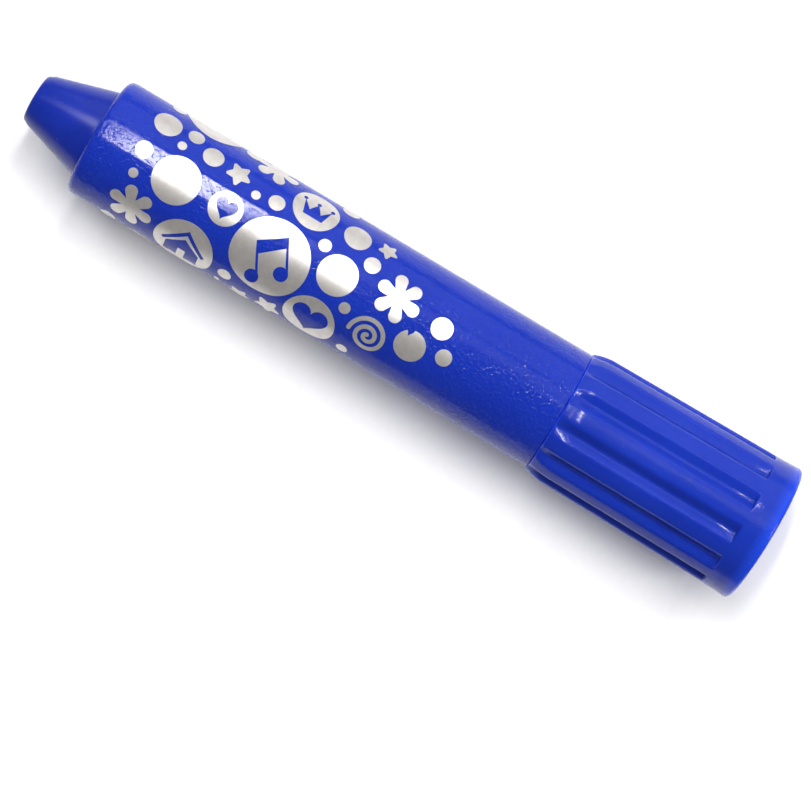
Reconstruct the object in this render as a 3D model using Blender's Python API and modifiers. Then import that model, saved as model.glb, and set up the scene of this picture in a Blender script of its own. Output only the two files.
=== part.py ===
"""A jumbo twist-up crayon: fluted knob, lead screw, stick carrier, wax stick and barrel.

Every piece is drawn about one axis. Local Z runs along it from the knob's flat end to the tip,
and the parent empty lays that axis down along the world's X, resting on the floor.
Angles are counted about local Z from local X, which faces straight up in the world.
"""
import math

import bmesh
import bpy
from mathutils import Matrix, Vector

MM = 0.001

# Lengths along the axis, from the knob's flat end.
TOTAL_LENGTH = 105.9 * MM
BARREL_FRONT = 96.8 * MM
SEAM = 29.9 * MM
CLEARANCE = 0.3 * MM
HALF_CLEARANCE = 0.5 * CLEARANCE

# Barrel.
BARREL_REAR_RADIUS = 8.08 * MM
BARREL_FRONT_RADIUS = 7.95 * MM
BARREL_RIM_ROUND = 0.8 * MM
BORE_RADIUS = 6.25 * MM
SPIGOT_REAR = 18.0 * MM
SPIGOT_RADIUS = 6.9 * MM
SPIGOT_SLOT_FRONT = 27.0 * MM
SNAP_BEAD_CENTRE = 21.5 * MM
SNAP_BEAD_HALF_WIDTH = 1.0 * MM
SNAP_BEAD_HEIGHT = 0.42 * MM
KEYWAY_WIDTH = 2.2 * MM
KEYWAY_RADIUS = 7.15 * MM
KEYWAY_FRONT = 84.0 * MM

# Knob.
KNOB_END_RADIUS = 9.3 * MM
KNOB_END_ROUND = 0.5 * MM
COLLAR_LENGTH = 3.9 * MM
COLLAR_FRONT_RADIUS = 9.12 * MM
CREST_FRONT = 26.9 * MM
CREST_FRONT_RADIUS = 8.86 * MM
CREST_SEAM_RADIUS = 8.24 * MM
SEAM_RADIUS = 8.1 * MM
FLARE_STEPS = 4
KNOB_BORE_RADIUS = 7.18 * MM
END_WALL = 2.4 * MM
SOCKET_FRONT = 7.5 * MM
SOCKET_RADIUS = 4.3 * MM
FLUTE_COUNT = 12
FLUTE_FIRST_ANGLE = math.radians(17.5)
FLUTE_TOP_HALF_WIDTH = 1.3 * MM
FLUTE_FLOOR_HALF_WIDTH = 0.22 * MM
FLUTE_DEPTH = 0.76 * MM
FLUTE_FLOOR_ROUND = 0.2 * MM
CUTTER_OVERRUN = 1.2 * MM

# Lead screw, with a left-hand thread, so that the stick comes out as the knob turns clockwise.
THREAD_PITCH = 5.0 * MM
THREAD_MEAN_RADIUS = 2.65 * MM
THREAD_DEPTH = 0.9 * MM
THREAD_ROWS_PER_PITCH = 8
SCREW_FRONT = 72.0 * MM
FLANGE_REAR = SOCKET_FRONT + CLEARANCE
FLANGE_FRONT = 8.8 * MM
FLANGE_RADIUS = 4.3 * MM
ROOT_SIZE = 4.0 * MM
ROOT_REAR = END_WALL + CLEARANCE + HALF_CLEARANCE

# Stick carrier.
CARRIER_REAR = 20.0 * MM
CUP_FLOOR = 27.0 * MM
CUP_FRONT = 39.0 * MM
CARRIER_RADIUS = 5.95 * MM
CUP_BORE_RADIUS = 5.45 * MM
KEY_WIDTH = 1.6 * MM
KEY_RADIUS = 6.9 * MM
KEY_REAR = 30.5 * MM
KEY_FRONT = 38.5 * MM
KEY_ROOT = 0.25 * MM

# Wax stick.
STICK_RADIUS = 5.95 * MM
STICK_SHANK_RADIUS = 5.15 * MM
STICK_HOLE_RADIUS = 3.5 * MM
STICK_HOLE_FRONT = 82.6 * MM
CONE_REAR = 97.0 * MM
TIP_RADIUS = 3.26 * MM
TIP_ROUND = 0.5 * MM

TURNED_SEGMENTS = 48
KNOB_SEGMENTS = 60
SCREW_SEGMENTS = 20
ROUND_STEPS = 3
CIRCULAR = 0.5
SMOOTH_ANGLE = math.radians(35)
MERGE_DISTANCE = 0.002 * MM


def clear_scene():
    for obj in list(bpy.data.objects):
        bpy.data.objects.remove(obj, do_unlink=True)


def new_collection(name):
    collection = bpy.data.collections.new(name)
    bpy.context.scene.collection.children.link(collection)
    return collection


def plastic(name, colour, roughness, clearcoat=0.0):
    material = bpy.data.materials.new(name)
    material.use_nodes = True
    shader = material.node_tree.nodes["Principled BSDF"]
    shader.inputs["Base Color"].default_value = (*colour, 1.0)
    shader.inputs["Roughness"].default_value = roughness
    shader.inputs["Metallic"].default_value = 0.0
    shader.inputs["Coat Weight"].default_value = clearcoat
    material.diffuse_color = (*colour, 1.0)
    return material


def add_object(name, mesh, collection, parent=None, material=None):
    obj = bpy.data.objects.new(name, mesh)
    collection.objects.link(obj)
    obj.parent = parent
    if material is not None:
        mesh.materials.append(material)
    return obj


def rounded_corner(centre_radius, centre_z, round_radius, start, end):
    """Points of an arc in the profile plane, from angle start to angle end in degrees."""
    points = []
    for step in range(ROUND_STEPS + 1):
        angle = math.radians(start + (end - start) * step / ROUND_STEPS)
        radius = centre_radius + round_radius * math.cos(angle)
        height = centre_z + round_radius * math.sin(angle)
        points.append((radius, height))
    return points


def turned(name, profile, closed, segments, collection, parent=None, material=None):
    """A solid of revolution about Z from (radius, z) points that run down the outer side."""
    mesh = bpy.data.meshes.new(name)
    vertices = [(radius, 0.0, height) for radius, height in profile]
    edges = [(index, index + 1) for index in range(len(profile) - 1)]
    if closed:
        edges.append((len(profile) - 1, 0))
    mesh.from_pydata(vertices, edges, [])
    obj = add_object(name, mesh, collection, parent, material)
    screw = obj.modifiers.new("turn", "SCREW")
    screw.axis = "Z"
    screw.angle = 2 * math.pi
    screw.steps = segments
    screw.render_steps = segments
    screw.use_merge_vertices = True
    screw.merge_threshold = MERGE_DISTANCE
    return obj


def box_mesh(name, low, high):
    mesh = bpy.data.meshes.new(name)
    shape = bmesh.new()
    low, high = Vector(low), Vector(high)
    place = Matrix.Translation((low + high) / 2) @ Matrix.Diagonal((*(high - low), 1.0))
    bmesh.ops.create_cube(shape, size=1.0, matrix=place)
    shape.to_mesh(mesh)
    shape.free()
    return mesh


def as_cutter(obj):
    obj.hide_render = True
    obj.display_type = "WIRE"
    return obj


def boolean(obj, cutter, operation):
    modifier = obj.modifiers.new(cutter.name, "BOOLEAN")
    modifier.object = cutter
    modifier.operation = operation
    modifier.solver = "EXACT"


def settle(obj):
    """Apply the modifiers and smooth everything but the sharp edges."""
    graph = bpy.context.evaluated_depsgraph_get()
    mesh = bpy.data.meshes.new_from_object(obj.evaluated_get(graph))
    obj.modifiers.clear()
    obj.data = mesh
    mesh.shade_smooth()
    mesh.set_sharp_from_angle(angle=SMOOTH_ANGLE)


def thread_radius(angle, height, low, high):
    """Radius of the rounded left-hand thread, which fades out over half a pitch at both ends."""
    turn = height / THREAD_PITCH + angle / (2 * math.pi)
    from_end = min(height - low, high - height)
    fade = max(0.0, min(1.0, from_end / (0.5 * THREAD_PITCH)))
    wave = 0.5 * (1 + math.cos(2 * math.pi * turn))
    return THREAD_MEAN_RADIUS - 0.5 * THREAD_DEPTH + fade * THREAD_DEPTH * wave


def threaded_rod(name, low, high, extra_radius, fades):
    """A cylinder in rows along its length, each point moved out to the thread's surface."""
    rows = math.ceil((high - low) / THREAD_PITCH * THREAD_ROWS_PER_PITCH)
    shape = bmesh.new()
    place = Matrix.Translation((0.0, 0.0, (low + high) / 2))
    bmesh.ops.create_cone(
        shape, cap_ends=True, segments=SCREW_SEGMENTS, depth=high - low, matrix=place,
        radius1=THREAD_MEAN_RADIUS, radius2=THREAD_MEAN_RADIUS,
    )
    lengthwise = [edge for edge in shape.edges if abs(edge.verts[0].co.z - edge.verts[1].co.z) > MM]
    bmesh.ops.subdivide_edges(shape, edges=lengthwise, cuts=rows - 1, use_grid_fill=True)
    margin = 0.0 if fades else THREAD_PITCH
    for vertex in shape.verts:
        angle = math.atan2(vertex.co.y, vertex.co.x)
        radius = thread_radius(angle, vertex.co.z, low - margin, high + margin) + extra_radius
        vertex.co.x = radius * math.cos(angle)
        vertex.co.y = radius * math.sin(angle)
    mesh = bpy.data.meshes.new(name)
    shape.to_mesh(mesh)
    shape.free()
    return mesh


def make_barrel(parts, cutters, axis):
    outside = rounded_corner(
        BARREL_FRONT_RADIUS - BARREL_RIM_ROUND, BARREL_FRONT - BARREL_RIM_ROUND, BARREL_RIM_ROUND, 90, 0,
    )
    rear_face = SEAM + HALF_CLEARANCE
    spigot = [
        (BARREL_REAR_RADIUS, rear_face),
        (SPIGOT_RADIUS, rear_face),
        (SPIGOT_RADIUS, SNAP_BEAD_CENTRE + SNAP_BEAD_HALF_WIDTH),
        (SPIGOT_RADIUS + SNAP_BEAD_HEIGHT, SNAP_BEAD_CENTRE),
        (SPIGOT_RADIUS, SNAP_BEAD_CENTRE - SNAP_BEAD_HALF_WIDTH),
        (SPIGOT_RADIUS, SPIGOT_REAR),
    ]
    bore = [(BORE_RADIUS, SPIGOT_REAR), (BORE_RADIUS, BARREL_FRONT)]
    material = plastic("barrel_plastic", (0.020, 0.052, 0.560), 0.22, 0.3)
    barrel = turned("barrel", outside + spigot + bore, True, TURNED_SEGMENTS, parts, axis, material)
    keyway_low = (-KEYWAY_WIDTH / 2, -KEYWAY_RADIUS, SPIGOT_REAR - CUTTER_OVERRUN)
    keyway_high = (KEYWAY_WIDTH / 2, KEYWAY_RADIUS, KEYWAY_FRONT)
    keyways = add_object("keyways", box_mesh("keyways", keyway_low, keyway_high), cutters, axis)
    boolean(barrel, as_cutter(keyways), "DIFFERENCE")
    slot_reach = BARREL_REAR_RADIUS
    slot_low = (-KEYWAY_WIDTH / 2, -slot_reach, SPIGOT_REAR - CUTTER_OVERRUN)
    slot_high = (KEYWAY_WIDTH / 2, slot_reach, SPIGOT_SLOT_FRONT)
    slots = add_object("spigot_slots", box_mesh("spigot_slots", slot_low, slot_high), cutters, axis)
    boolean(barrel, as_cutter(slots), "DIFFERENCE")
    settle(barrel)


def flute_cutters():
    """Tapered prisms around the knob, square at the collar and running out past the seam."""
    floor_rear = COLLAR_FRONT_RADIUS - FLUTE_DEPTH
    floor_slope = (floor_rear - SEAM_RADIUS) / (SEAM - COLLAR_LENGTH)
    side_slope = (FLUTE_TOP_HALF_WIDTH - FLUTE_FLOOR_HALF_WIDTH) / FLUTE_DEPTH
    front = SEAM + CUTTER_OVERRUN
    joined = bmesh.new()
    for index in range(FLUTE_COUNT):
        made = bmesh.ops.create_cube(joined, size=1.0)
        turn = Matrix.Rotation(FLUTE_FIRST_ANGLE + 2 * math.pi * index / FLUTE_COUNT, 4, "Z")
        for vertex in made["verts"]:
            height = front if vertex.co.z > 0 else COLLAR_LENGTH
            floor = floor_rear - floor_slope * (height - COLLAR_LENGTH)
            rise = FLUTE_DEPTH + CUTTER_OVERRUN if vertex.co.x > 0 else 0.0
            half_width = FLUTE_FLOOR_HALF_WIDTH + side_slope * rise
            side = math.copysign(half_width, vertex.co.y)
            vertex.co = turn @ Vector((floor + rise, side, height))
    floor_limit = COLLAR_FRONT_RADIUS
    floor_edges = [
        edge for edge in joined.edges
        if all(vertex.co.xy.length < floor_limit for vertex in edge.verts)
        and abs(edge.verts[0].co.z - edge.verts[1].co.z) > COLLAR_LENGTH
    ]
    bmesh.ops.bevel(
        joined, geom=floor_edges, offset=FLUTE_FLOOR_ROUND, segments=2, profile=CIRCULAR, affect="EDGES",
    )
    mesh = bpy.data.meshes.new("flutes")
    joined.to_mesh(mesh)
    joined.free()
    return mesh


def make_knob(parts, cutters, axis):
    flare = []
    for step in range(FLARE_STEPS + 1):
        share = 1 - step / FLARE_STEPS
        radius = CREST_FRONT_RADIUS - (CREST_FRONT_RADIUS - CREST_SEAM_RADIUS) * share * share
        flare.append((radius, CREST_FRONT + (SEAM - CREST_FRONT) * share))
    collar = [(COLLAR_FRONT_RADIUS, COLLAR_LENGTH)]
    end = rounded_corner(KNOB_END_RADIUS - KNOB_END_ROUND, KNOB_END_ROUND, KNOB_END_ROUND, 0, -90)
    groove_depth = SNAP_BEAD_HEIGHT
    inside = [
        (0.0, 0.0),
        (0.0, SOCKET_FRONT),
        (SOCKET_RADIUS, SOCKET_FRONT),
        (SOCKET_RADIUS, END_WALL),
        (KNOB_BORE_RADIUS, END_WALL),
        (KNOB_BORE_RADIUS, SNAP_BEAD_CENTRE - SNAP_BEAD_HALF_WIDTH),
        (KNOB_BORE_RADIUS + groove_depth, SNAP_BEAD_CENTRE),
        (KNOB_BORE_RADIUS, SNAP_BEAD_CENTRE + SNAP_BEAD_HALF_WIDTH),
        (KNOB_BORE_RADIUS, SEAM),
    ]
    material = plastic("knob_plastic", (0.024, 0.066, 0.580), 0.30, 0.2)
    profile = flare + collar + end
    knob = turned("twist_knob", profile + inside, True, KNOB_SEGMENTS, parts, axis, material)
    flutes = add_object("flutes", flute_cutters(), cutters, axis)
    boolean(knob, as_cutter(flutes), "DIFFERENCE")
    half = ROOT_SIZE / 2 + CLEARANCE
    socket_high = (half, half, SOCKET_FRONT + CUTTER_OVERRUN)
    socket_mesh = box_mesh("square_socket", (-half, -half, END_WALL), socket_high)
    socket = add_object("square_socket", socket_mesh, cutters, axis)
    boolean(knob, as_cutter(socket), "DIFFERENCE")
    settle(knob)


def make_lead_screw(parts, cutters, axis):
    material = plastic("spindle_plastic", (0.72, 0.74, 0.76), 0.45)
    rod = threaded_rod("lead_screw", FLANGE_FRONT - HALF_CLEARANCE, SCREW_FRONT, 0.0, True)
    screw = add_object("lead_screw", rod, parts, axis, material)
    flange_profile = [
        (0.0, FLANGE_FRONT),
        (FLANGE_RADIUS, FLANGE_FRONT),
        (FLANGE_RADIUS, FLANGE_REAR),
        (0.0, FLANGE_REAR),
    ]
    flange = turned("screw_flange", flange_profile, False, TURNED_SEGMENTS, cutters, axis)
    boolean(screw, as_cutter(flange), "UNION")
    half = ROOT_SIZE / 2
    root_high = (half, half, FLANGE_REAR + HALF_CLEARANCE)
    root_mesh = box_mesh("screw_root", (-half, -half, ROOT_REAR), root_high)
    root = add_object("screw_root", root_mesh, cutters, axis)
    boolean(screw, as_cutter(root), "UNION")
    settle(screw)


def make_carrier(parts, cutters, axis):
    profile = [
        (CUP_BORE_RADIUS, CUP_FRONT),
        (CARRIER_RADIUS, CUP_FRONT),
        (CARRIER_RADIUS, CARRIER_REAR),
        (0.0, CARRIER_REAR),
        (0.0, CUP_FLOOR),
        (CUP_BORE_RADIUS, CUP_FLOOR),
    ]
    material = plastic("carrier_plastic", (0.030, 0.070, 0.480), 0.40)
    carrier = turned("stick_carrier", profile, True, TURNED_SEGMENTS, parts, axis, material)
    for side in (-1, 1):
        inner = CARRIER_RADIUS - KEY_ROOT
        low = (-KEY_WIDTH / 2, min(side * inner, side * KEY_RADIUS), KEY_REAR)
        high = (KEY_WIDTH / 2, max(side * inner, side * KEY_RADIUS), KEY_FRONT)
        name = "key_right" if side > 0 else "key_left"
        key = add_object(name, box_mesh(name, low, high), cutters, axis)
        boolean(carrier, as_cutter(key), "UNION")
    tap_rear = CARRIER_REAR - CUTTER_OVERRUN
    tap_front = CUP_FLOOR + CUTTER_OVERRUN
    tap_mesh = threaded_rod("nut_thread", tap_rear, tap_front, CLEARANCE, False)
    tap = add_object("nut_thread", tap_mesh, cutters, axis)
    boolean(carrier, as_cutter(tap), "DIFFERENCE")
    settle(carrier)


def make_stick(parts, axis):
    slope = (STICK_RADIUS - TIP_RADIUS) / (TOTAL_LENGTH - CONE_REAR)
    cone_angle = math.degrees(math.atan(slope))
    round_centre_z = TOTAL_LENGTH - TIP_ROUND
    round_centre_radius = TIP_RADIUS - TIP_ROUND
    front = rounded_corner(round_centre_radius, round_centre_z, TIP_ROUND, 90, cone_angle)
    profile = [(0.0, TOTAL_LENGTH)] + front + [
        (STICK_RADIUS, CONE_REAR),
        (STICK_RADIUS, CUP_FRONT + CLEARANCE),
        (STICK_SHANK_RADIUS, CUP_FRONT + CLEARANCE),
        (STICK_SHANK_RADIUS, CUP_FLOOR + CLEARANCE),
        (STICK_HOLE_RADIUS, CUP_FLOOR + CLEARANCE),
        (STICK_HOLE_RADIUS, STICK_HOLE_FRONT),
        (0.0, STICK_HOLE_FRONT),
    ]
    material = plastic("blue_wax", (0.022, 0.058, 0.520), 0.42, 0.1)
    stick = turned("crayon_stick", profile, False, TURNED_SEGMENTS, parts, axis, material)
    settle(stick)


def main():
    clear_scene()
    parts = new_collection("twist_up_crayon")
    cutters = new_collection("cutters")
    axis = bpy.data.objects.new("crayon_axis", None)
    parts.objects.link(axis)
    axis.location = (TOTAL_LENGTH / 2, 0.0, KNOB_END_RADIUS)
    axis.rotation_euler = (0.0, -math.pi / 2, 0.0)
    make_barrel(parts, cutters, axis)
    make_knob(parts, cutters, axis)
    make_lead_screw(parts, cutters, axis)
    make_carrier(parts, cutters, axis)
    make_stick(parts, axis)


main()
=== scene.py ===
"""The looks of a jumbo twist-up crayon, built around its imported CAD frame.

Turned pieces are drawn with Z along the crayon's axis, from the knob's flat end to the tip, and are
then laid down by the matrix AXIS. Angles round the axis count from straight up, towards world +Y.
"""
import math

import bmesh
import bpy
from mathutils import Matrix, Vector


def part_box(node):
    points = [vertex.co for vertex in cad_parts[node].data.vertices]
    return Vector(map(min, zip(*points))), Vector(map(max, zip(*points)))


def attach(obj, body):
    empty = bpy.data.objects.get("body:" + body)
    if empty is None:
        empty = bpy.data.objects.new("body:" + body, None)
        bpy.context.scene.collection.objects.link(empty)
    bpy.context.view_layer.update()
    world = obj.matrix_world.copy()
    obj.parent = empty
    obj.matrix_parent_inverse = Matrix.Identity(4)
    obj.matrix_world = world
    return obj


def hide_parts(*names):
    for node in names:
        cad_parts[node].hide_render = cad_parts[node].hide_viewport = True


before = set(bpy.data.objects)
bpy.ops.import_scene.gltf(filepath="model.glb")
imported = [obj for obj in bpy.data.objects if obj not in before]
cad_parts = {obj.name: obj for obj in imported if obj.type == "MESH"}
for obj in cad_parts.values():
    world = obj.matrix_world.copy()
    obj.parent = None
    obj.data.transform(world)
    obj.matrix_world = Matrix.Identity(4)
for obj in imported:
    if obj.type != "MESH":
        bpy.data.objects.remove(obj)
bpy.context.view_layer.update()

MM = 0.001

# Places read from the frame.
KNOB_LOW, KNOB_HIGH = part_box("twist_knob")
BARREL_LOW, BARREL_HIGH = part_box("barrel")
STICK_LOW, STICK_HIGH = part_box("crayon_stick")
KNOB_END_X = KNOB_HIGH.x
AXIS_HEIGHT = (KNOB_LOW.z + KNOB_HIGH.z) / 2
AXIS = Matrix.Translation((KNOB_END_X, 0.0, AXIS_HEIGHT)) @ Matrix.Rotation(-math.pi / 2, 4, "Y")
SEAM = KNOB_END_X - KNOB_LOW.x
BARREL_FRONT = KNOB_END_X - BARREL_LOW.x
SPIGOT_REAR = KNOB_END_X - BARREL_HIGH.x
STICK_FRONT = KNOB_END_X - STICK_LOW.x
STICK_REAR = KNOB_END_X - STICK_HIGH.x
KNOB_END_RADIUS = (KNOB_HIGH.z - KNOB_LOW.z) / 2
BARREL_REAR_RADIUS = (BARREL_HIGH.z - BARREL_LOW.z) / 2
STICK_RADIUS = (STICK_HIGH.z - STICK_LOW.z) / 2

# Barrel.
BARREL_FRONT_RADIUS = 7.95 * MM
BARREL_RIM_ROUND = 0.85 * MM
RIM_BEVEL = 0.28 * MM
RIM_BEVEL_LEAN = math.radians(8.4)
WALL_LOOP = 0.12 * MM
MOUTH_ROUND = 0.2 * MM
SEAM_GAP = 0.012 * MM
SEAM_ROUND = 0.22 * MM
BORE_RADIUS = 6.25 * MM
SPIGOT_RADIUS = 6.9 * MM
SNAP_BEAD_CENTRE = 21.5 * MM
SNAP_BEAD_HALF_WIDTH = 1.0 * MM
SNAP_BEAD_HEIGHT = 0.42 * MM
KEYWAY_WIDTH = 2.2 * MM
KEYWAY_RADIUS = 7.15 * MM
KEYWAY_FRONT = 84.0 * MM
SPIGOT_SLOT_FRONT = 27.0 * MM
CUTTER_OVERRUN = 1.2 * MM

# Knob.
KNOB_END_ROUND = 0.55 * MM
COLLAR_LENGTH = 3.9 * MM
COLLAR_FRONT_RADIUS = 9.12 * MM
CREST_FRONT = 26.9 * MM
CREST_FRONT_RADIUS = 8.86 * MM
CREST_SEAM_RADIUS = 8.24 * MM
SEAM_RADIUS = 8.1 * MM
KNOB_LIP_ROUND = 0.05 * MM
KNOB_BORE_RADIUS = 7.18 * MM
END_WALL = 2.4 * MM
SOCKET_FRONT = 7.5 * MM
SOCKET_RADIUS = 4.3 * MM
SOCKET_HALF_WIDTH = 2.3 * MM
FLUTE_COUNT = 12
FLUTE_FIRST_ANGLE = math.radians(17.5)
FLUTE_HALF_ANGLE = math.radians(8.3)
FLUTE_FLOOR_ROUND = 0.30
FLUTE_EDGE_ROUND = 0.22
FLUTE_DEPTH = 0.76 * MM
FLUTE_END_SLOPE = 0.16 * MM
COLLAR_STEP_ROUND = 0.18 * MM

# Wax stick.
CUP_FRONT = 39.0 * MM
CLEARANCE = 0.3 * MM
STICK_SHANK_RADIUS = 5.15 * MM
STICK_HOLE_RADIUS = 3.5 * MM
STICK_HOLE_FRONT = 82.6 * MM
CONE_REAR = 97.0 * MM
CONE_LOOP = 0.35 * MM
TIP_RADIUS = 3.26 * MM
TIP_ROUND = 0.55 * MM

# Foil print.
FOIL_RISE = 0.02 * MM
FOIL_ROOT = 0.06 * MM
FOIL_STRIP = 0.3 * MM
# In mm, like the flat motifs that it cuts.
BISECT_DISTANCE = 1e-5

# Mesh density.
TURNED_SEGMENTS = 192
ARC_STEPS = 6
RIM_STEPS = 10
SMALL_ARC_STEPS = 3
FLARE_STEPS = 14
CREST_STEPS = 6
SMOOTH_ANGLE = math.radians(50)
MERGE_DISTANCE = 0.001 * MM

# Materials. The colours are linear. The indices of refraction are low, because the white floor's
# reflection along the barrel's edges would be too strong with the real ones.
BARREL_BLUES = ((0.0068, 0.027, 0.345), (0.0086, 0.031, 0.38))
KNOB_BLUES = ((0.0068, 0.028, 0.345), (0.0088, 0.033, 0.38))
END_GLOW_BLUE = (0.012, 0.055, 0.58)
SEAM_GLOW_BLUE = (0.014, 0.05, 0.62)
DUST_BLUE = (0.20, 0.27, 0.75)
WAX_BLUES = ((0.0055, 0.021, 0.28), (0.008, 0.026, 0.33))
WAX_CRUMB_BLUE = (0.12, 0.18, 0.70)
SILVERS = ((0.58, 0.55, 0.525), (0.70, 0.67, 0.64))
SPINDLE_GREYS = ((0.70, 0.71, 0.72), (0.78, 0.78, 0.76))
CARRIER_BLUES = ((0.02, 0.05, 0.42), (0.03, 0.07, 0.50))
FLOOR_WHITES = ((0.745, 0.745, 0.745), (0.765, 0.765, 0.765))
# Painted light on the floor: a painted grey shade far from the crayon, and a glow that is stronger past the
# knob's end.
FLOOR_FAR_PAINTED_SHADE = (0.24, 0.24, 0.24)
FLOOR_GLOW = (0.14, 0.138, 0.142)
FLOOR_PAINTED_GLOW_PAST_KNOB = (0.40, 0.395, 0.40)
BLACK = (0.0, 0.0, 0.0)
PLASTIC_IOR = 1.32
WAX_IOR = 1.33
END_GLOW_REACH = 1.9 * MM
END_GLOW_FULL = 0.6 * MM
SEAM_GLOW_FULL = 0.05 * MM
SEAM_GLOW_REACH = 0.16 * MM


def rounded_corner(centre_radius, centre_z, round_radius, start, end, steps=ARC_STEPS):
    """Points of an arc in the profile plane, from angle start to angle end in degrees."""
    points = []
    for step in range(steps + 1):
        angle = math.radians(start + (end - start) * step / steps)
        radius = centre_radius + round_radius * math.cos(angle)
        height = centre_z + round_radius * math.sin(angle)
        points.append((radius, height))
    return points


def new_object(name, mesh):
    obj = bpy.data.objects.new(name, mesh)
    bpy.context.scene.collection.objects.link(obj)
    return obj


def object_from(name, shape):
    """Turn a finished bmesh into a linked object, and free it."""
    mesh = bpy.data.meshes.new(name)
    shape.to_mesh(mesh)
    shape.free()
    return new_object(name, mesh)


def add_rings(shape, rows, angles):
    """A ring of vertices for each row of (height, radii or one radius). None is a point on the axis."""
    rings = []
    for height, radius in rows:
        if radius is None:
            rings.append([shape.verts.new((0.0, 0.0, height))])
            continue
        radii = radius if isinstance(radius, list) else [radius] * len(angles)
        ring = [
            shape.verts.new((value * math.cos(angle), value * math.sin(angle), height))
            for value, angle in zip(radii, angles)
        ]
        rings.append(ring)
    return rings


def add_bands(shape, pairs, count):
    """Faces between each pair of rings, with triangles where one ring is a point on the axis."""
    for upper, lower in pairs:
        for index in range(count):
            after = (index + 1) % count
            corners = [upper[index % len(upper)], lower[index % len(lower)]]
            corners += [lower[after % len(lower)], upper[after % len(upper)]]
            unique = list(dict.fromkeys(corners))
            if len(unique) > 2:
                shape.faces.new(unique)


def loft(name, rows, angles):
    """A closed skin through rows of (height, radius), turned round the axis."""
    shape = bmesh.new()
    rings = add_rings(shape, rows, angles)
    pairs = list(zip(rings, rings[1:]))
    if len(rings[0]) > 1 and len(rings[-1]) > 1:
        pairs.append((rings[-1], rings[0]))
    add_bands(shape, pairs, len(angles))
    bmesh.ops.remove_doubles(shape, verts=shape.verts, dist=MERGE_DISTANCE)
    bmesh.ops.recalc_face_normals(shape, faces=shape.faces)
    return object_from(name, shape)


def even_angles(count):
    return [2 * math.pi * index / count for index in range(count)]


def box_cutter(name, low, high):
    shape = bmesh.new()
    low, high = Vector(low), Vector(high)
    place = Matrix.Translation((low + high) / 2) @ Matrix.Diagonal((*(high - low), 1.0))
    bmesh.ops.create_cube(shape, size=1.0, matrix=place)
    return object_from(name, shape)


def cut(obj, cutters):
    """Take the cutters out of obj for good, and remove them."""
    for cutter in cutters:
        modifier = obj.modifiers.new(cutter.name, "BOOLEAN")
        modifier.object = cutter
        modifier.operation = "DIFFERENCE"
        modifier.solver = "EXACT"
    graph = bpy.context.evaluated_depsgraph_get()
    mesh = bpy.data.meshes.new_from_object(obj.evaluated_get(graph))
    obj.modifiers.clear()
    obj.data = mesh
    for cutter in cutters:
        bpy.data.objects.remove(cutter, do_unlink=True)


def finish_piece(obj, material, body, replaced=None):
    """Lay the piece down along the crayon's axis, smooth it, paint it and hand it to its body."""
    obj.data.transform(AXIS)
    obj.data.shade_smooth()
    obj.data.set_sharp_from_angle(angle=SMOOTH_ANGLE)
    obj.data.materials.clear()
    obj.data.materials.append(material)
    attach(obj, body)
    if replaced:
        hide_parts(replaced)


# ---------------------------------------------------------------- materials


class Nodes:
    """Short calls for making a material's nodes."""

    def __init__(self, name):
        self.material = bpy.data.materials.new(name)
        self.material.use_nodes = True
        self.tree = self.material.node_tree
        self.shader = self.tree.nodes["Principled BSDF"]
        self.place = self.add("ShaderNodeTexCoord").outputs["Object"]

    def add(self, kind, **settings):
        node = self.tree.nodes.new(kind)
        for key, value in settings.items():
            setattr(node, key, value)
        return node

    def link(self, source, target):
        self.tree.links.new(source, target)

    def stretched(self, scale):
        """Places scaled on each axis, so that a noise read there is drawn out where the scale is small."""
        node = self.add("ShaderNodeMapping")
        node.inputs["Scale"].default_value = scale
        self.link(self.place, node.inputs["Vector"])
        return node.outputs["Vector"]

    def along(self):
        """How far along X a place is."""
        node = self.add("ShaderNodeSeparateXYZ")
        self.link(self.place, node.inputs[0])
        return node.outputs["X"]

    def noise(self, scale, detail=3.0, roughness=0.5, vector=None):
        node = self.add("ShaderNodeTexNoise")
        node.inputs["Scale"].default_value = scale
        node.inputs["Detail"].default_value = detail
        node.inputs["Roughness"].default_value = roughness
        self.link(vector or self.place, node.inputs["Vector"])
        return node.outputs["Fac"]

    def ramp(self, value, low, high, start=0.0, end=1.0):
        """Start where the value is at or under low, end where it is at or over high."""
        node = self.add("ShaderNodeMapRange")
        node.inputs["From Min"].default_value = low
        node.inputs["From Max"].default_value = high
        node.inputs["To Min"].default_value = start
        node.inputs["To Max"].default_value = end
        self.link(value, node.inputs["Value"])
        return node.outputs["Result"]

    def math(self, operation, first, second):
        node = self.add("ShaderNodeMath", operation=operation)
        for socket, value in zip(node.inputs, (first, second)):
            if isinstance(value, (int, float)):
                socket.default_value = value
            else:
                self.link(value, socket)
        return node.outputs[0]

    def mix(self, factor, first, second):
        """A colour between first and second, each of which is a colour or a socket."""
        node = self.add("ShaderNodeMix", data_type="RGBA")
        factor_socket, first_socket, second_socket = node.inputs[0], node.inputs[6], node.inputs[7]
        for socket, value in ((factor_socket, factor), (first_socket, first), (second_socket, second)):
            if isinstance(value, tuple):
                socket.default_value = (*value, 1.0)
            elif isinstance(value, (int, float)):
                socket.default_value = value
            else:
                self.link(value, socket)
        return node.outputs[2]

    def bump(self, height, distance, under=None):
        """A normal from that height, on top of the normal called under."""
        node = self.add("ShaderNodeBump")
        node.inputs["Distance"].default_value = distance
        self.link(height, node.inputs["Height"])
        if under:
            self.link(under, node.inputs["Normal"])
        return node.outputs["Normal"]

    def set(self, **values):
        for key, value in values.items():
            self.shader.inputs[key.replace("_", " ")].default_value = value


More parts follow.
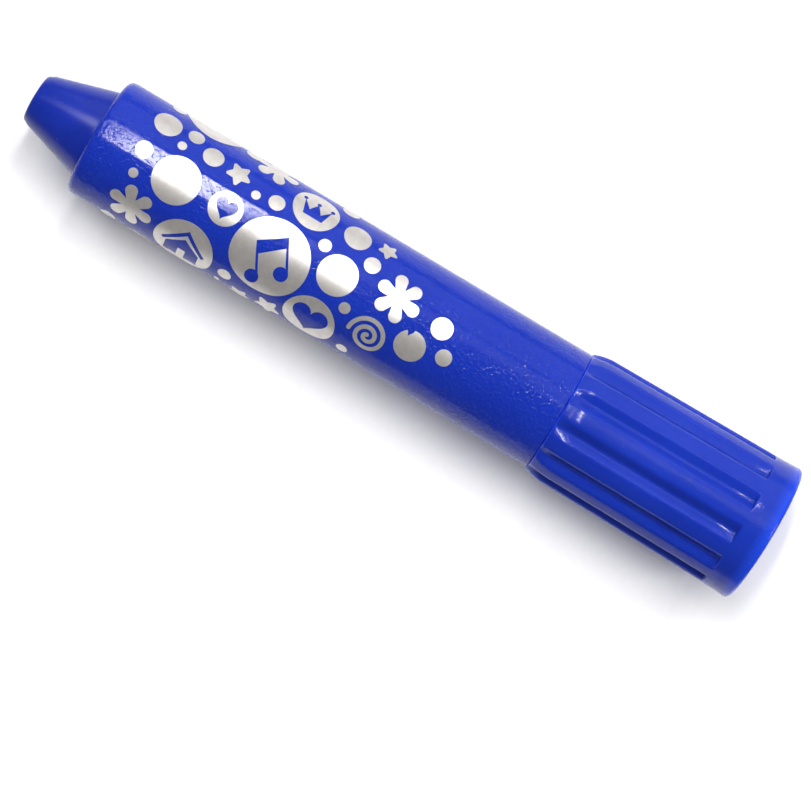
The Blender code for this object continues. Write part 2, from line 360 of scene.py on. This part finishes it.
def blue_plastic(name, blues, roughness, pit_depth):
    """Moulded translucent plastic: slow colour drift, a skin of fine pits, hairlines and dust specks.

    The thin edges at the seam and at the knob's flat end, where light comes through the real one, are
    painted a brighter blue.
    """
    nodes = Nodes(name)
    drift = nodes.noise(90.0, 2.0)
    colour = nodes.mix(nodes.ramp(drift, 0.3, 0.7), *blues)
    specks = nodes.ramp(nodes.noise(2300.0, 1.0), 0.79, 0.83, 0.0, 0.35)
    colour = nodes.mix(specks, colour, DUST_BLUE)
    along = nodes.along()
    near_end = nodes.ramp(along, KNOB_END_X - END_GLOW_REACH, KNOB_END_X - END_GLOW_FULL)
    colour = nodes.mix(near_end, colour, END_GLOW_BLUE)
    from_seam = nodes.math("ABSOLUTE", nodes.math("SUBTRACT", along, KNOB_LOW.x), 0.0)
    off_seam = nodes.ramp(from_seam, SEAM_GLOW_FULL, SEAM_GLOW_REACH)
    colour = nodes.mix(off_seam, SEAM_GLOW_BLUE, colour)
    nodes.link(colour, nodes.shader.inputs["Base Color"])
    nodes.set(IOR=PLASTIC_IOR, Subsurface_Weight=0.35, Subsurface_Scale=1.0)
    nodes.shader.inputs["Subsurface Radius"].default_value = (0.3 * MM, 0.6 * MM, 2.6 * MM)
    scratches = nodes.noise(700.0, 3.0, 0.6, nodes.stretched((0.12, 1.0, 1.0)))
    wear = nodes.ramp(scratches, 0.35, 0.75, roughness, roughness + 0.02)
    nodes.link(wear, nodes.shader.inputs["Roughness"])
    pits = nodes.bump(nodes.ramp(nodes.noise(2500.0, 0.0), 0.54, 0.63), pit_depth)
    swell = nodes.noise(240.0, 1.0, 0.4, nodes.stretched((0.2, 1.0, 1.0)))
    nodes.link(nodes.bump(swell, 0.0015 * MM, pits), nodes.shader.inputs["Normal"])
    return nodes.material


def blue_wax(name):
    """Smooth pressed wax, softly glossy, with pale crumbs and drag marks along it."""
    nodes = Nodes(name)
    drift = nodes.noise(260.0, 4.0, 0.6)
    colour = nodes.mix(nodes.ramp(drift, 0.3, 0.7), *WAX_BLUES)
    crumbs = nodes.ramp(nodes.noise(1800.0, 2.0), 0.70, 0.78, 0.0, 0.4)
    colour = nodes.mix(crumbs, colour, WAX_CRUMB_BLUE)
    nodes.link(colour, nodes.shader.inputs["Base Color"])
    nodes.set(IOR=WAX_IOR, Subsurface_Weight=0.3, Subsurface_Scale=1.0)
    nodes.shader.inputs["Subsurface Radius"].default_value = (0.3 * MM, 0.5 * MM, 1.6 * MM)
    drag = nodes.noise(500.0, 3.0, 0.6, nodes.stretched((0.15, 1.0, 1.0)))
    nodes.link(nodes.ramp(drag, 0.3, 0.7, 0.19, 0.28), nodes.shader.inputs["Roughness"])
    grain = nodes.bump(nodes.noise(1500.0, 3.0, 0.6), 0.006 * MM)
    nodes.link(nodes.bump(drag, 0.008 * MM, grain), nodes.shader.inputs["Normal"])
    return nodes.material


def silver_foil(name):
    """Hot-stamped silver foil: satin metal with a fine grain and slightly duller clouds."""
    nodes = Nodes(name)
    cloud = nodes.noise(900.0, 4.0, 0.65)
    colour = nodes.mix(nodes.ramp(cloud, 0.3, 0.7), *SILVERS)
    nodes.link(colour, nodes.shader.inputs["Base Color"])
    nodes.set(Metallic=0.74)
    nodes.link(nodes.ramp(cloud, 0.3, 0.7, 0.42, 0.34), nodes.shader.inputs["Roughness"])
    nodes.link(nodes.bump(nodes.noise(4200.0, 2.0, 0.6), 0.006 * MM), nodes.shader.inputs["Normal"])
    return nodes.material


def moulded_plastic(name, colours, roughness):
    """Plain moulded plastic for the pieces inside."""
    nodes = Nodes(name)
    cloud = nodes.noise(300.0, 4.0, 0.6)
    nodes.link(nodes.mix(nodes.ramp(cloud, 0.3, 0.7), *colours), nodes.shader.inputs["Base Color"])
    worn = nodes.ramp(cloud, 0.3, 0.7, roughness, roughness + 0.12)
    nodes.link(worn, nodes.shader.inputs["Roughness"])
    nodes.link(nodes.bump(nodes.noise(1800.0, 2.0), 0.01 * MM), nodes.shader.inputs["Normal"])
    return nodes.material


# ---------------------------------------------------------------- turned pieces


def barrel_radius(height):
    """Outer radius of the barrel, which narrows a little from the seam to the front."""
    share = (height - SEAM) / (BARREL_FRONT - SEAM)
    return BARREL_REAR_RADIUS + (BARREL_FRONT_RADIUS - BARREL_REAR_RADIUS) * share


def make_barrel(material):
    """The tube with its rim, and the slotted spigot that snaps into the knob."""
    rim_z = BARREL_FRONT - BARREL_RIM_ROUND
    bevel_z = rim_z - RIM_BEVEL
    lean = math.degrees(RIM_BEVEL_LEAN)
    bevel_foot = barrel_radius(bevel_z) - RIM_BEVEL * math.tan(RIM_BEVEL_LEAN)
    mouth_radius = BORE_RADIUS + MOUTH_ROUND
    mouth_z = BARREL_FRONT - MOUTH_ROUND
    mouth = rounded_corner(mouth_radius, mouth_z, MOUTH_ROUND, 180, 90, SMALL_ARC_STEPS)
    rim_centre = bevel_foot - BARREL_RIM_ROUND * math.cos(RIM_BEVEL_LEAN)
    rim = rounded_corner(rim_centre, rim_z, BARREL_RIM_ROUND, 90, lean, RIM_STEPS)
    rear_face = SEAM + SEAM_GAP
    rear_radius = BARREL_REAR_RADIUS - SEAM_ROUND
    rear = rounded_corner(rear_radius, rear_face + SEAM_ROUND, SEAM_ROUND, 0, -90, SMALL_ARC_STEPS)
    spigot = [
        (SPIGOT_RADIUS, rear_face),
        (SPIGOT_RADIUS, SNAP_BEAD_CENTRE + SNAP_BEAD_HALF_WIDTH),
        (SPIGOT_RADIUS + SNAP_BEAD_HEIGHT, SNAP_BEAD_CENTRE),
        (SPIGOT_RADIUS, SNAP_BEAD_CENTRE - SNAP_BEAD_HALF_WIDTH),
        (SPIGOT_RADIUS, SPIGOT_REAR),
        (BORE_RADIUS, SPIGOT_REAR),
    ]
    wall = [(barrel_radius(bevel_z), bevel_z)]
    for loop in (bevel_z - WALL_LOOP, rear_face + SEAM_ROUND + WALL_LOOP):
        wall.append((barrel_radius(loop), loop))
    profile = mouth + rim + wall + rear + spigot
    rows = [(height, radius) for radius, height in profile]
    barrel = loft("barrel_shell", rows, even_angles(TURNED_SEGMENTS))
    low = SPIGOT_REAR - CUTTER_OVERRUN
    half = KEYWAY_WIDTH / 2
    keyways = box_cutter("keyways", (-half, -KEYWAY_RADIUS, low), (half, KEYWAY_RADIUS, KEYWAY_FRONT))
    reach = BARREL_REAR_RADIUS
    slots = box_cutter("slots", (-half, -reach, low), (half, reach, SPIGOT_SLOT_FRONT))
    cut(barrel, [keyways, slots])
    finish_piece(barrel, material, "barrel", "barrel")


def crest_radius(height):
    """Outer radius of the knob between its flutes."""
    if height > CREST_FRONT:
        across = (height - CREST_FRONT) / (SEAM - CREST_FRONT)
        return CREST_FRONT_RADIUS - (CREST_FRONT_RADIUS - CREST_SEAM_RADIUS) * across * across
    if height > COLLAR_LENGTH:
        share = (height - COLLAR_LENGTH) / (CREST_FRONT - COLLAR_LENGTH)
        return COLLAR_FRONT_RADIUS + (CREST_FRONT_RADIUS - COLLAR_FRONT_RADIUS) * share
    share = height / COLLAR_LENGTH
    return KNOB_END_RADIUS + (COLLAR_FRONT_RADIUS - KNOB_END_RADIUS) * share


def floor_radius(height):
    """Radius of the flutes' bottom, which comes up to SEAM_RADIUS at the seam."""
    share = (height - COLLAR_LENGTH) / (SEAM - COLLAR_LENGTH)
    rear = COLLAR_FRONT_RADIUS - FLUTE_DEPTH
    return rear + (SEAM_RADIUS - rear) * share


def flute_angles():
    """Angles round the knob, close together where a flute's wall bends."""
    half_period = math.pi / FLUTE_COUNT
    edge = FLUTE_HALF_ANGLE
    shares = [0.0, 0.06, 0.12, 0.18, 0.24, 0.30, 0.42, 0.56, 0.70]
    shares += [0.78, 0.84, 0.90, 0.96, 1.02, 1.08, 1.15, 1.22]
    offsets = [edge * share for share in shares]
    offsets += [offsets[-1] + (half_period - offsets[-1]) * share for share in (0.33, 0.66)]
    around = [-value for value in reversed(offsets[1:])] + offsets + [half_period]
    angles = []
    for index in range(FLUTE_COUNT):
        centre = FLUTE_FIRST_ANGLE + 2 * math.pi * index / FLUTE_COUNT
        angles += [(centre + offset, abs(offset)) for offset in around]
    return angles


def flute_share(offset):
    """How deep a flute is at an angle from its middle: a V with a rounded bottom and rounded edges."""
    across = offset / FLUTE_HALF_ANGLE
    depth = 1.0 - across
    if across < FLUTE_FLOOR_ROUND:
        depth -= (FLUTE_FLOOR_ROUND - across) ** 2 / (2 * FLUTE_FLOOR_ROUND)
    if across > 1 - FLUTE_EDGE_ROUND:
        depth = max(0.0, 1 + FLUTE_EDGE_ROUND - across) ** 2 / (4 * FLUTE_EDGE_ROUND)
    return depth / (1.0 - FLUTE_FLOOR_ROUND / 2)


def make_knob(material):
    """The fluted cap with its flared front edge, its collar and the square socket inside."""
    angles = flute_angles()

    def fluted(height, strength=1.0):
        crest = crest_radius(height)
        depth = max(0.0, crest - floor_radius(max(height, COLLAR_LENGTH))) * strength
        return [crest - depth * flute_share(offset) for angle, offset in angles]

    lip = [value - KNOB_LIP_ROUND for value in fluted(SEAM)]
    rows = [(SEAM, lip)]
    for step in range(FLARE_STEPS + 1):
        height = SEAM - KNOB_LIP_ROUND - (SEAM - KNOB_LIP_ROUND - CREST_FRONT) * step / FLARE_STEPS
        rows.append((height, fluted(height)))
    flute_rear = COLLAR_LENGTH + FLUTE_END_SLOPE
    for step in range(1, CREST_STEPS + 1):
        height = CREST_FRONT + (flute_rear - CREST_FRONT) * step / CREST_STEPS
        rows.append((height, fluted(height)))
    # Each flute runs out in a short curve onto the collar: (share of the curve's length, of the depth).
    for share, strength in ((0.8, 0.97), (0.55, 0.8), (0.35, 0.6)):
        height = COLLAR_LENGTH + FLUTE_END_SLOPE * share
        rows.append((height, fluted(height, strength)))
    for share, strength in ((0.12, 0.36), (-0.12, 0.17), (-0.5, 0.045), (-1.0, 0.0)):
        height = COLLAR_LENGTH + COLLAR_STEP_ROUND * share
        rows.append((height, fluted(height, strength)))
    rows.append((COLLAR_LENGTH * 0.6, crest_radius(COLLAR_LENGTH * 0.6)))
    end = rounded_corner(KNOB_END_RADIUS - KNOB_END_ROUND, KNOB_END_ROUND, KNOB_END_ROUND, 0, -90)
    rows += [(height, radius) for radius, height in end]
    rows += [(0.0, 0.6 * KNOB_END_RADIUS), (0.0, None)]
    inside = [
        (SOCKET_RADIUS, SOCKET_FRONT),
        (SOCKET_RADIUS, END_WALL),
        (KNOB_BORE_RADIUS, END_WALL),
        (KNOB_BORE_RADIUS, SNAP_BEAD_CENTRE - SNAP_BEAD_HALF_WIDTH),
        (KNOB_BORE_RADIUS + SNAP_BEAD_HEIGHT, SNAP_BEAD_CENTRE),
        (KNOB_BORE_RADIUS, SNAP_BEAD_CENTRE + SNAP_BEAD_HALF_WIDTH),
        (KNOB_BORE_RADIUS, SEAM),
    ]
    rows += [(SOCKET_FRONT, None)] + [(height, radius) for radius, height in inside]
    knob = knob_skin("knob_shell", rows, [angle for angle, offset in angles])
    half = SOCKET_HALF_WIDTH
    top = SOCKET_FRONT + CUTTER_OVERRUN
    cut(knob, [box_cutter("socket", (-half, -half, END_WALL), (half, half, top))])
    finish_piece(knob, material, "knob", "twist_knob")


def knob_skin(name, rows, angles):
    """The outside runs to the axis at the end face, and the inside comes back from the axis."""
    split = next(index for index, row in enumerate(rows) if row[1] is None) + 1
    shape = bmesh.new()
    outside = add_rings(shape, rows[:split], angles)
    inside = add_rings(shape, rows[split:], angles)
    pairs = list(zip(outside, outside[1:])) + list(zip(inside, inside[1:]))
    pairs.append((inside[-1], outside[0]))
    add_bands(shape, pairs, len(angles))
    bmesh.ops.recalc_face_normals(shape, faces=shape.faces)
    return object_from(name, shape)


def make_stick(material):
    """The wax with its cone and flat front, thinner in the carrier's cup and hollow for the screw."""
    slope = math.degrees(math.atan2(STICK_RADIUS - TIP_RADIUS, STICK_FRONT - CONE_REAR))
    tip = rounded_corner(TIP_RADIUS - TIP_ROUND, STICK_FRONT - TIP_ROUND, TIP_ROUND, 90, slope)
    shoulder = CUP_FRONT + CLEARANCE
    lean = (STICK_RADIUS - TIP_RADIUS) / (STICK_FRONT - CONE_REAR)
    front_loop = STICK_FRONT - TIP_ROUND - CONE_LOOP
    rear_loop = CONE_REAR + CONE_LOOP
    profile = [
        (STICK_RADIUS - lean * (front_loop - CONE_REAR), front_loop),
        (STICK_RADIUS - lean * CONE_LOOP, rear_loop),
        (STICK_RADIUS, CONE_REAR),
        (STICK_RADIUS, CONE_REAR - CONE_LOOP),
        (STICK_RADIUS, shoulder),
        (STICK_SHANK_RADIUS, shoulder),
        (STICK_SHANK_RADIUS, STICK_REAR),
        (STICK_HOLE_RADIUS, STICK_REAR),
        (STICK_HOLE_RADIUS, STICK_HOLE_FRONT),
    ]
    rows = [(STICK_FRONT, None)] + [(height, radius) for radius, height in tip + profile]
    rows.append((STICK_HOLE_FRONT, None))
    stick = loft("wax_stick", rows, even_angles(TURNED_SEGMENTS))
    finish_piece(stick, material, "stick", "crayon_stick")


# ---------------------------------------------------------------- foil print

# Each motif is (mm behind the barrel's front rim, degrees round towards +Y, its width in mm).
DOTS = [
    (7.0, 43.5, 3.65), (10.8, 47.5, 2.15), (9.9, 30.5, 1.2), (13.9, 37.4, 2.75), (6.2, 8.8, 2.2),
    (11.5, 0.0, 6.2), (6.5, -13.75, 1.25), (5.9, -80.0, 2.1), (7.0, 76.8, 1.9), (12.1, 87.0, 8.0),
    (10.4, -105.0, 6.4), (20.8, 25.9, 1.2), (23.5, 30.1, 2.13), (18.0, 75.5, 2.4), (31.3, 18.7, 1.65),
    (34.5, 1.1, 5.2), (34.25, 43.1, 3.62), (37.55, 25.4, 2.18), (37.3, -20.6, 1.5), (39.45, -64.0, 1.55),
    (22.3, -59.0, 1.85), (21.6, -75.0, 0.75), (31.9, 75.5, 2.4), (48.9, 8.3, 2.83), (50.9, -13.2, 2.12),
]
CHIPPED_DOTS = [(46.55, -19.9, 4.05)]
FLOWERS = [(8.15, -44.8, 6.15), (21.4, 71.0, 6.15), (42.4, 11.6, 6.15)]
STARS = [(17.7, 35.5, 3.3), (38.35, 48.0, 2.65), (28.8, -69.6, 3.6), (24.9, -79.5, 3.1)]
HEARTS = [(18.5, 1.0, 4.42), (34.1, -51.6, 7.05)]
HOUSES = [(16.15, -55.3, 8.2)]
CROWNS = [(28.1, 46.3, 6.2)]
NOTES = [(26.2, -17.0, 10.26)]
SPIRALS = [(41.4, -33.0, 5.0)]

# The whole print is set back, scaled along, turned (degrees) and stretched round by a little. The motifs
# within REPEAT_REACH degrees of the top are printed again REPEAT_TURN degrees further round.
PRINT_START = 0.27
PRINT_SCALE = 0.9967
PRINT_TURN = -0.25
ARC_STRETCH = 1.02
REPEAT_TURN = 190.0
REPEAT_REACH = 51.0


def ellipse(across, along, centre=(0.0, 0.0), count=48):
    return [
        (centre[0] + across * math.cos(angle), centre[1] + along * math.sin(angle))
        for angle in even_angles(count)
    ]


def dot_outline(width):
    return ellipse(width / 2, width / 2)


def badge_outline(width):
    """A larger dot, round enough to carry an icon."""
    return ellipse(width / 2, width / 2, count=72)


def flower_outline(width):
    """Six drop-shaped petals that meet short of the middle."""
    core, bulb = 0.195 * width, 0.135 * width
    reach = 0.5 * width - bulb
    half_angle = math.asin(bulb / reach)
    outline = []
    for petal in range(6):
        along = math.radians(60 * petal - 11)
        notch = along - math.radians(30)
        outline.append((core * math.cos(notch), core * math.sin(notch)))
        first = math.pi / 2 + half_angle
        for step in range(13):
            angle = along - first + 2 * first * step / 12
            x = reach * math.cos(along) + bulb * math.cos(angle)
            y = reach * math.sin(along) + bulb * math.sin(angle)
            outline.append((x, y))
    return outline


def star_outline(width):
    """Five points, each softened by an arc."""
    outer, inner = 0.5 * width, 0.30 * width
    softness = 0.075 * width
    outline = []
    for index in range(5):
        tip = math.radians(-83 + 72 * index)
        notch = tip + math.radians(36)
        centre = Vector((math.cos(tip), math.sin(tip))) * (outer - softness)
        for step in range(5):
            angle = tip + math.radians(-60 + 30 * step)
            x = centre.x + softness * math.cos(angle)
            y = centre.y + softness * math.sin(angle)
            outline.append((x, y))
        outline.append((inner * math.cos(notch), inner * math.sin(notch)))
    return outline


def heart_outline(width, height):
    """The usual heart curve, upright."""
    outline = []
    for angle in even_angles(72):
        across = math.sin(angle) ** 3
        along = 13 * math.cos(angle) - 5 * math.cos(2 * angle)
        along = along - 2 * math.cos(3 * angle) - math.cos(4 * angle)
        outline.append((0.5 * width * across, height * (along + 2.5) / 29.0))
    return outline


def spiral_outline(width):
    """A band that winds inwards clockwise from its outer end, with round ends."""
    turns, band = 2.2, 0.114 * width
    start_radius, pitch = 0.505 * width, 0.212 * width
    steps = 90
    middle = []
    for step in range(steps + 1):
        share = step / steps
        angle = math.radians(185) - 2 * math.pi * turns * share
        radius = start_radius - pitch * turns * share
        middle.append(Vector((radius * math.cos(angle), radius * math.sin(angle))))
    left, right = [], []
    for index, point in enumerate(middle):
        before, after = middle[max(0, index - 1)], middle[min(steps, index + 1)]
        direction = (after - before).normalized()
        side = Vector((-direction.y, direction.x)) * band / 2
        left.append(point + side)
        right.append(point - side)

    def cap(point, direction):
        base = math.atan2(direction.y, direction.x)
        around = [base + math.radians(60 - 30 * step) for step in range(5)]
        return [point + Vector((math.cos(angle), math.sin(angle))) * band / 2 for angle in around]

    tail = cap(middle[0], middle[0] - middle[1])
    head = cap(middle[-1], middle[-1] - middle[-2])
    outline = left + head + list(reversed(right)) + tail
    return [tuple(point) for point in outline]


def plate(name, outline, low=-1.0, high=1.0):
    """A flat slab with that outline, for the print itself or to cut it."""
    shape = bmesh.new()
    face = shape.faces.new([shape.verts.new((x, y, low)) for x, y in outline])
    grown = bmesh.ops.extrude_face_region(shape, geom=[face])
    moved = [item for item in grown["geom"] if isinstance(item, bmesh.types.BMVert)]
    bmesh.ops.translate(shape, verts=moved, vec=(0.0, 0.0, high - low))
    bmesh.ops.recalc_face_normals(shape, faces=shape.faces)
    return object_from(name, shape)


def heart_icon(width):
    """A heart a little below the middle."""
    share = 0.69 if width > 6 else 0.655
    drop = 0.035 * width
    return [[(x, y - drop) for x, y in heart_outline(share * width, share * 0.95 * width)]]


def house_icon(width):
    """A chevron roof over a house with a doorway."""
    unit = width / 8.25
    roof = [(-3.1, 0.0), (0.0, 2.85), (3.1, 0.0), (2.75, -0.42), (0.0, 2.1), (-2.75, -0.42)]
    walls = [(-2.35, -0.35), (0.0, 1.4), (2.35, -0.35), (2.35, -2.8), (0.55, -2.8), (0.55, -0.75)]
    walls += [(-0.5, -0.75), (-0.5, -2.8), (-2.35, -2.8)]
    return [[(x * unit, y * unit) for x, y in part] for part in (roof, walls)]


def crown_icon(width):
    """Three points with a ball on each."""
    unit = width / 6.3
    body = [(-1.35, -1.5), (-1.95, 1.0), (-0.8, -0.5), (0.0, 1.0)]
    body += [(0.8, -0.5), (1.95, 1.0), (1.35, -1.5)]
    parts = [[(x * unit, y * unit) for x, y in body]]
    for x in (-1.95, 0.0, 1.95):
        parts.append(ellipse(0.3 * unit, 0.32 * unit, (x * unit, 1.12 * unit), 16))
    return parts


def note_icon(width):
    """Two leaning notes joined by a beam."""
    unit = width / 10.26
    beam = [(-2.43, 1.17), (0.85, 3.45), (1.30, 2.15), (-1.44, -0.17)]
    left_stem = [(-2.43, 1.17), (-2.13, 1.31), (0.06, -3.3), (-0.24, -3.44)]
    right_stem = [(0.85, 3.45), (3.14, -0.8), (2.86, -0.95), (0.57, 3.3)]
    left_head = ellipse(0.92, 1.08, (-0.86, -3.38), 32)
    right_head = ellipse(0.95, 1.0, (2.2, -1.06), 32)
    parts = (beam, left_stem, right_stem, left_head, right_head)
    return [[(x * unit, y * unit) for x, y in part] for part in parts]


def chip(width):
    """A bite out of the print's edge."""
    unit = width / 4.05
    bite = [(-1.3, 1.75), (-1.02, 1.42), (-0.86, 1.0), (-0.62, 1.36)]
    bite += [(-0.36, 1.72), (-0.3, 2.4), (-1.5, 2.4)]
    return [[(x * unit, y * unit) for x, y in bite]]


def motif_plates():
    """Every motif as (place, flat slab in mm), on the front and again on the far side."""
    shapes = [
        (DOTS, dot_outline, None),
        (FLOWERS, flower_outline, None),
        (STARS, star_outline, None),
        (SPIRALS, spiral_outline, None),
        (HEARTS, badge_outline, heart_icon),
        (HOUSES, badge_outline, house_icon),
        (CROWNS, badge_outline, crown_icon),
        (NOTES, badge_outline, note_icon),
        (CHIPPED_DOTS, badge_outline, chip),
    ]
    made = []
    for places, outline, icon in shapes:
        for along, around, width in places:
            slab = plate("motif", outline(width))
            if icon:
                cut(slab, [plate("icon", part, -2.0, 2.0) for part in icon(width)])
            made.append((along, around, slab))
            if abs(around) < REPEAT_REACH:
                twin = new_object("motif", slab.data.copy())
                made.append((along, around + REPEAT_TURN, twin))
    return made


def make_foil(material):
    """Bend the flat motifs onto the barrel as one thin print."""
    joined = bmesh.new()
    for along, around, slab in motif_plates():
        start = len(joined.verts)
        joined.from_mesh(slab.data)
        joined.verts.ensure_lookup_table()
        turn = math.radians(around + PRINT_TURN)
        shift = Vector((PRINT_START + along * PRINT_SCALE, turn * BARREL_REAR_RADIUS / MM, 0.0))
        for vertex in joined.verts[start:]:
            vertex.co.y *= ARC_STRETCH
            vertex.co += shift
        bpy.data.objects.remove(slab, do_unlink=True)
    strip = FOIL_STRIP / MM
    low = min(vertex.co.y for vertex in joined.verts)
    high = max(vertex.co.y for vertex in joined.verts)
    for line in range(math.floor(low / strip), math.ceil(high / strip)):
        geometry = joined.verts[:] + joined.edges[:] + joined.faces[:]
        place = (0.0, line * strip, 0.0)
        bmesh.ops.bisect_plane(
            joined, geom=geometry, plane_co=place, plane_no=(0.0, 1.0, 0.0), dist=BISECT_DISTANCE,
        )
    for vertex in joined.verts:
        height = BARREL_FRONT - vertex.co.x * MM
        rise = FOIL_RISE if vertex.co.z > 0 else -FOIL_ROOT
        radius = barrel_radius(height) + rise
        angle = vertex.co.y * MM / BARREL_REAR_RADIUS
        vertex.co = (radius * math.cos(angle), radius * math.sin(angle), height)
    bmesh.ops.recalc_face_normals(joined, faces=joined.faces)
    finish_piece(object_from("foil_print", joined), material, "barrel")


# ---------------------------------------------------------------- stage

AXIS_LEAN = math.radians(30.93)
CAMERA_HEIGHT = 455 * MM
CAMERA_LENS = 162.0
CAMERA_OVER = Vector((0.8 * MM, -9.2 * MM, 0.0))
CAMERA_AIM = Vector((6.2 * MM, -9.2 * MM, 0.0))
FLOOR_SIZE = 1.5
# Reaches of the floor's painted light: white out to the first, a painted grey shade from the second, and
# the glow's rise round the knob's end.
FLOOR_WHITE_REACH = 74 * MM
FLOOR_GREY_REACH = 125 * MM
FLOOR_GLOW_EDGE = 4 * MM

# Soft boxes: name, centre (m), the place that it faces, its size (m) and its radiance. A dim box beside the
# key, a narrow one towards the tip and a wide one beyond it light the rim and the tip. On the knob's side
# are a wide dim box with a small one under it, then a wall of light on +Y and a fill beyond the knob's end.
KEY_HIGH = Vector((-0.0894, -0.010, 0.71))
KEY_LOW = Vector((-0.0547, 0.222, 0.34))
KEY_WIDTH = 0.0335
KEY_RADIANCE = 48.9
SOFT_BOXES = [
    ("edge_box", (-0.122, 0.235, 0.71), (-0.122, 0.235, 0.0), (0.050, 0.51), 5.0),
    ("rim_box", (-0.33, 0.225, 0.71), (-0.33, 0.225, 0.0), (0.07, 0.51), 8.0),
    ("tip_box", (-0.60, 0.27, 0.71), (-0.05, 0.0, 0.0), (0.28, 0.28), 8.0),
    ("beside", (0.25, 0.37, 0.71), (0.25, 0.37, 0.0), (0.58, 0.28), 1.1),
    ("crest_box", (0.10, 0.145, 0.71), (0.10, 0.145, 0.0), (0.11, 0.11), 2.2),
    ("side", (0.0, 0.75, 0.40), (0.0, 0.0, 0.05), (1.6, 0.70), 0.9),
    ("fill", (0.62, 0.10, 0.52), (0.0, 0.0, 0.0), (0.25, 0.22), 14.0),
]


def make_camera():
    data = bpy.data.cameras.new("camera")
    data.lens = CAMERA_LENS
    data.sensor_width = 36.0
    data.clip_start = 0.01
    data.clip_end = 10.0
    camera = new_object("camera", data)
    place = CAMERA_OVER + Vector((0.0, 0.0, AXIS_HEIGHT + CAMERA_HEIGHT))
    aim = CAMERA_AIM + Vector((0.0, 0.0, AXIS_HEIGHT))
    forward = (aim - place).normalized()
    up = Vector((-math.sin(AXIS_LEAN), math.cos(AXIS_LEAN), 0.0))
    right = forward.cross(up).normalized()
    up = right.cross(forward)
    turn = Matrix((right, up, -forward)).transposed().to_4x4()
    camera.matrix_world = Matrix.Translation(place) @ turn
    bpy.context.scene.camera = camera


def panel(name, centre, aim, size, radiance):
    """A white soft box whose face has that brightness."""
    data = bpy.data.lights.new(name, "AREA")
    data.shape = "RECTANGLE"
    data.size, data.size_y = size
    data.energy = radiance * math.pi * size[0] * size[1]
    light = new_object(name, data)
    light.location = centre
    light.rotation_euler = (Vector(aim) - Vector(centre)).to_track_quat("-Z", "Y").to_euler()
    return light


def floor_material():
    """White card with painted light: a little glow round the crayon, and a painted grey shade far away."""
    nodes = Nodes("white_floor")
    away_from = nodes.add("ShaderNodeVectorMath", operation="DISTANCE")
    away_from.inputs[1].default_value = CAMERA_AIM
    nodes.link(nodes.place, away_from.inputs[0])
    # Painted shade: far from the crayon the floor's colour goes grey and its glow goes out.
    away = nodes.ramp(away_from.outputs["Value"], FLOOR_WHITE_REACH, FLOOR_GREY_REACH)
    grain = nodes.ramp(nodes.noise(900.0, 3.0), 0.3, 0.7)
    near = nodes.mix(grain, *FLOOR_WHITES)
    nodes.link(nodes.mix(away, near, FLOOR_FAR_PAINTED_SHADE), nodes.shader.inputs["Base Color"])
    # Painted light: past the knob's end the floor glows more, which washes out the shadow there.
    beyond = nodes.ramp(nodes.along(), KNOB_END_X - FLOOR_GLOW_EDGE, KNOB_END_X + FLOOR_GLOW_EDGE)
    glow = nodes.mix(beyond, FLOOR_GLOW, FLOOR_PAINTED_GLOW_PAST_KNOB)
    nodes.link(nodes.mix(away, glow, BLACK), nodes.shader.inputs["Emission Color"])
    nodes.set(Emission_Strength=1.0, Roughness=0.9)
    nodes.shader.inputs["Specular IOR Level"].default_value = 0.1
    return nodes.material


def make_floor():
    shape = bmesh.new()
    bmesh.ops.create_grid(shape, x_segments=1, y_segments=1, size=FLOOR_SIZE)
    floor = object_from("floor", shape)
    floor.data.materials.append(floor_material())


def make_world():
    world = bpy.data.worlds.new("studio")
    world.use_nodes = True
    background = world.node_tree.nodes["Background"]
    background.inputs["Color"].default_value = (1.0, 1.0, 1.0, 1.0)
    background.inputs["Strength"].default_value = 0.15
    bpy.context.scene.world = world
    settings = bpy.context.scene.view_settings
    settings.view_transform = "Standard"
    settings.look = "None"
    settings.exposure = 0.0


def make_key():
    """A long narrow box above the tip that leans down towards +Y, and makes the strip along the barrel."""
    centre = (KEY_HIGH + KEY_LOW) / 2
    size = (KEY_WIDTH, (KEY_HIGH - KEY_LOW).length)
    key = panel("key", centre, (0.0, 0.0, 0.0), size, KEY_RADIANCE)
    length_axis = (KEY_LOW - KEY_HIGH).normalized()
    facing = Vector((1.0, 0.0, 0.0)).cross(length_axis).normalized()
    width_axis = length_axis.cross(facing)
    key.rotation_euler = Matrix((width_axis, length_axis, facing)).transposed().to_euler()


def main():
    make_camera()
    make_floor()
    make_world()
    make_key()
    for box in SOFT_BOXES:
        panel(*box)
    make_barrel(blue_plastic("barrel_plastic", BARREL_BLUES, 0.08, 0.020 * MM))
    make_knob(blue_plastic("knob_plastic", KNOB_BLUES, 0.15, 0.005 * MM))
    make_stick(blue_wax("blue_wax"))
    make_foil(silver_foil("silver_foil"))
    inner = {
        "lead_screw": moulded_plastic("spindle_plastic", SPINDLE_GREYS, 0.38),
        "stick_carrier": moulded_plastic("carrier_plastic", CARRIER_BLUES, 0.36),
    }
    for node, material in inner.items():
        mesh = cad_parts[node].data
        mesh.materials.clear()
        mesh.materials.append(material)


main()
